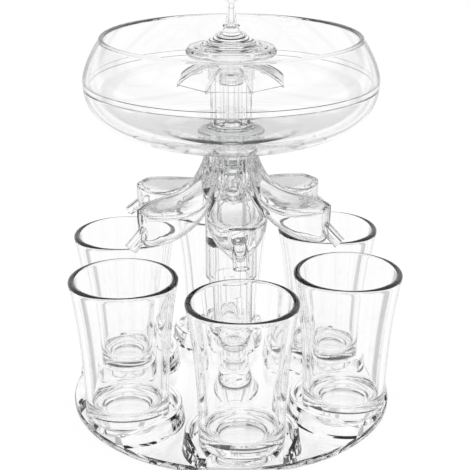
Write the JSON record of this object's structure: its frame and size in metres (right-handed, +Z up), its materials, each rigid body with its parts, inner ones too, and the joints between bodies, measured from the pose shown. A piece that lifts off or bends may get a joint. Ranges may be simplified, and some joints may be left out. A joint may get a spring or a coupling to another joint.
{
  "type": "party shot dispenser",
  "caption": "Clear drinks dispenser: a bowl with a lift valve on a column feeds petal spouts over cups standing in a ring of seats on a round base.",
  "frame": {"origin": "centre of the base plate's underside, on the table", "axes": "+Z up along the column; -Y towards cup 1 and spout 1, the front; +X to the right seen from the front"},
  "size_m": [0.139, 0.1504, 0.1812],
  "materials": {
    "base_clear": "clear, polished",
    "column_clear": "clear, polished",
    "manifold_clear": "clear, polished",
    "bowl_clear": "clear, polished",
    "guide_clear": "clear, polished",
    "canopy_clear": "clear, polished",
    "valve_clear": "clear, polished",
    "cup_clear": "clear, polished",
    "silicone": "translucent silicone"
  },
  "bodies": {
    "stand": {"base_plate": "base_clear", "base_boss": "base_clear", "seat_wall_1": "base_clear", "seat_wall_2": "base_clear", "seat_wall_3": "base_clear", "seat_wall_4": "base_clear", "seat_wall_5": "base_clear", "seat_wall_6": "base_clear", "lower_column": "column_clear", "manifold_hub": "manifold_clear", "spout_1": "manifold_clear", "spout_2": "manifold_clear", "spout_3": "manifold_clear", "spout_4": "manifold_clear", "spout_5": "manifold_clear", "spout_6": "manifold_clear", "bowl_gasket": "silicone", "bowl_lower": "bowl_clear", "bowl_upper": "bowl_clear", "guide_tube": "guide_clear", "canopy_collar": "guide_clear", "canopy": "canopy_clear"},
    "valve": {"valve_seal": "silicone", "valve_plug": "valve_clear", "valve_rod": "valve_clear", "valve_sleeve": "valve_clear", "knob_disc": "valve_clear", "knob_finial": "valve_clear"},
    "cup_1": {"cup_1": "cup_clear"},
    "cup_2": {"cup_2": "cup_clear"},
    "cup_3": {"cup_3": "cup_clear"},
    "cup_4": {"cup_4": "cup_clear"},
    "cup_5": {"cup_5": "cup_clear"},
    "cup_6": {"cup_6": "cup_clear"}
  },
  "joints": [
    {"name": "valve_lift", "type": "slide", "parent": "stand", "child": "valve", "axis": [0, 0, 1], "range_m": [0, 0.01]},
    {"name": "cup_1_lift", "type": "slide", "parent": "stand", "child": "cup_1", "axis": [0, -0.9205, 0.3907], "range_m": [0, 0.055]},
    {"name": "cup_2_lift", "type": "slide", "parent": "stand", "child": "cup_2", "axis": [0.7972, -0.4603, 0.3907], "range_m": [0, 0.055]},
    {"name": "cup_3_lift", "type": "slide", "parent": "stand", "child": "cup_3", "axis": [0.7972, 0.4603, 0.3907], "range_m": [0, 0.055]},
    {"name": "cup_4_lift", "type": "slide", "parent": "stand", "child": "cup_4", "axis": [0, 0.9205, 0.3907], "range_m": [0, 0.055]},
    {"name": "cup_5_lift", "type": "slide", "parent": "stand", "child": "cup_5", "axis": [-0.7972, 0.4603, 0.3907], "range_m": [0, 0.055]},
    {"name": "cup_6_lift", "type": "slide", "parent": "stand", "child": "cup_6", "axis": [-0.7972, -0.4603, 0.3907], "range_m": [0, 0.055]}
  ]
}
